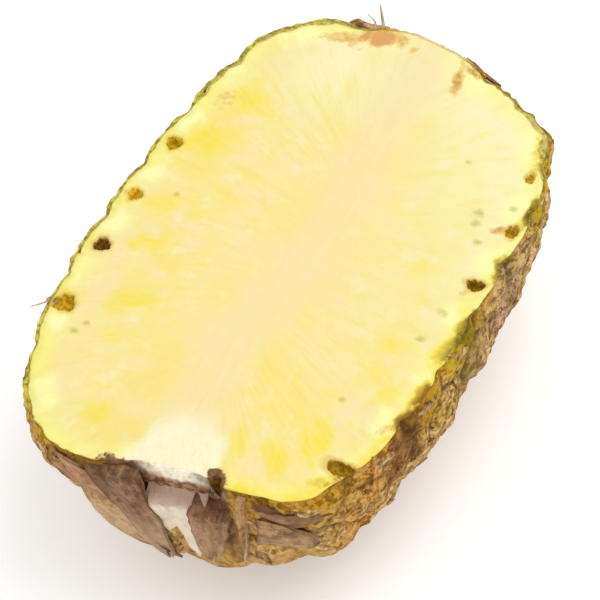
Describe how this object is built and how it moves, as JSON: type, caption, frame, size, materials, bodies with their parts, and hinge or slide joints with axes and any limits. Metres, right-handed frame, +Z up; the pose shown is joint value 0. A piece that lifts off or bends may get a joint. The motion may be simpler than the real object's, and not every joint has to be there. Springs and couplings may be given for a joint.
{
  "type": "halved pineapple",
  "caption": "Pineapple half without its crown, cut lengthwise and lying on its rind with the pale flesh face up.",
  "frame": {"origin": "on the ground, under the middle of the box around the half", "axes": "+Z up, square to the cut face; +Y from the stalk end to the crown end; +X to the right when the stalk end is nearest"},
  "size_m": [0.1206, 0.1825, 0.0655],
  "materials": {
    "flesh": "satin",
    "rind": "matte"
  },
  "bodies": {
    "root": {"half_pineapple": "flesh"}
  },
  "joints": []
}
